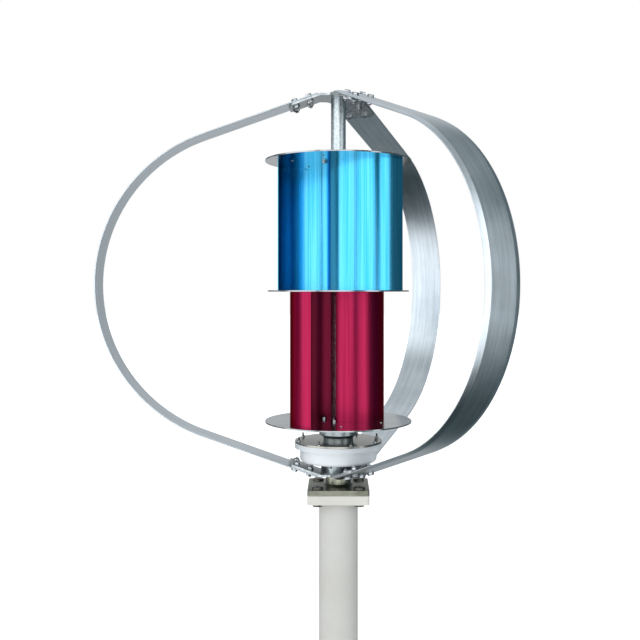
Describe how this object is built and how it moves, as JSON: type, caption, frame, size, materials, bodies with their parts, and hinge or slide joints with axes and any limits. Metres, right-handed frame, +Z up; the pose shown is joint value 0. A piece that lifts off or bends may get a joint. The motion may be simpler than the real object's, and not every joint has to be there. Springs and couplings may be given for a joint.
{
  "type": "vertical axis wind turbine",
  "caption": "Vertical axis wind turbine: bowed strap blades around a drum of stacked half-round buckets, turning on a flat disc generator bolted to a flanged pole.",
  "frame": {"origin": "on the rotor's axis, at the lower end of the pole", "axes": "+Z up along the rotor's axis; -Y is the front, from which a blade stands out to the left, along -X"},
  "size_m": [0.8744, 0.9802, 1.3134],
  "materials": {
    "pole_paint": "matt",
    "pole_flange_paint": "matt",
    "flange_steel": "machined",
    "flange_bolt_steel": "turned",
    "shaft_steel": "turned, polished",
    "bearing_steel": "ground",
    "cage_brass": "machined",
    "stator_aluminium": "machined",
    "stator_resin": "cast",
    "coil_copper": "wound wire",
    "plated_steel": "zinc plated",
    "dark_steel": "blackened",
    "galvanised_plate": "galvanised",
    "galvanised_tube": "galvanised",
    "hub_aluminium": "cast and turned",
    "seal_rubber": "moulded",
    "housing_paint": "gloss",
    "cover_steel": "rolled",
    "magnet_nickel": "nickel plated",
    "disc_aluminium": "polished sheet",
    "rivet_aluminium": "bright",
    "blue_anodised": "anodised, gloss",
    "red_anodised": "anodised, gloss",
    "blade_aluminium": "extruded, satin"
  },
  "bodies": {
    "mast": {"mast_tube": "pole_paint", "mast_flange": "pole_flange_paint", "neck_flange": "flange_steel", "stator_shaft": "shaft_steel", "flange_bolts": "flange_bolt_steel", "lower_bearing_inner": "bearing_steel", "upper_bearing_inner": "bearing_steel", "stator_hub": "stator_aluminium", "stator_ring": "stator_resin", "stator_coils": "coil_copper", "stator_screws": "plated_steel", "stator_nut": "dark_steel", "shaft_circlip": "dark_steel"},
    "rotor": {"bottom_spider": "galvanised_plate", "bottom_spider_bolts": "plated_steel", "bottom_spider_nuts": "plated_steel", "spider_hub_screws": "plated_steel", "lower_hub": "hub_aluminium", "hub_set_screw": "dark_steel", "shaft_seal": "seal_rubber", "lower_bearing_outer": "bearing_steel", "hub_circlip": "dark_steel", "hub_flange_screws": "plated_steel", "generator_housing": "housing_paint", "magnet_yoke": "dark_steel", "lower_magnets": "magnet_nickel", "upper_magnets": "magnet_nickel", "generator_cover": "cover_steel", "cover_studs": "plated_steel", "cover_nuts": "plated_steel", "cover_hub_screws": "plated_steel", "upper_bearing_outer": "bearing_steel", "upper_hub": "hub_aluminium", "upper_hub_set_screws": "dark_steel", "bottom_disc": "disc_aluminium", "bottom_disc_studs": "plated_steel", "bottom_disc_nuts": "plated_steel", "lower_bucket_a": "red_anodised", "lower_bucket_b": "red_anodised", "middle_disc": "disc_aluminium", "upper_bucket_a": "blue_anodised", "upper_bucket_b": "blue_anodised", "top_disc": "disc_aluminium", "top_collar": "hub_aluminium", "top_collar_set_screws": "dark_steel", "top_disc_bolts": "plated_steel", "disc_rivets": "rivet_aluminium", "rotor_shaft": "galvanised_tube", "shaft_plug": "dark_steel", "shaft_top_bolt": "plated_steel", "top_spider": "galvanised_plate", "top_spider_bolts": "plated_steel", "top_spider_nuts": "plated_steel", "blade_1": "blade_aluminium", "blade_2": "blade_aluminium", "blade_3": "blade_aluminium"},
    "lower_cage": {"lower_bearing_balls": "bearing_steel", "lower_bearing_cage": "cage_brass"},
    "upper_cage": {"upper_bearing_balls": "bearing_steel", "upper_bearing_cage": "cage_brass"}
  },
  "joints": [
    {"name": "rotor_spin", "type": "hinge", "parent": "mast", "child": "rotor", "pos_m": [0, 0, 0.872], "axis": [0, 0, 1], "continuous": true},
    {"name": "lower_cage_spin", "type": "hinge", "parent": "mast", "child": "lower_cage", "pos_m": [0, 0, 0.4635], "axis": [0, 0, 1], "continuous": true},
    {"name": "upper_cage_spin", "type": "hinge", "parent": "mast", "child": "upper_cage", "pos_m": [0, 0, 0.5255], "axis": [0, 0, 1], "continuous": true}
  ],
  "couplings": [
    {"joint": "lower_cage_spin", "follows": "rotor_spin", "ratio": 0.5735},
    {"joint": "upper_cage_spin", "follows": "rotor_spin", "ratio": 0.584}
  ]
}
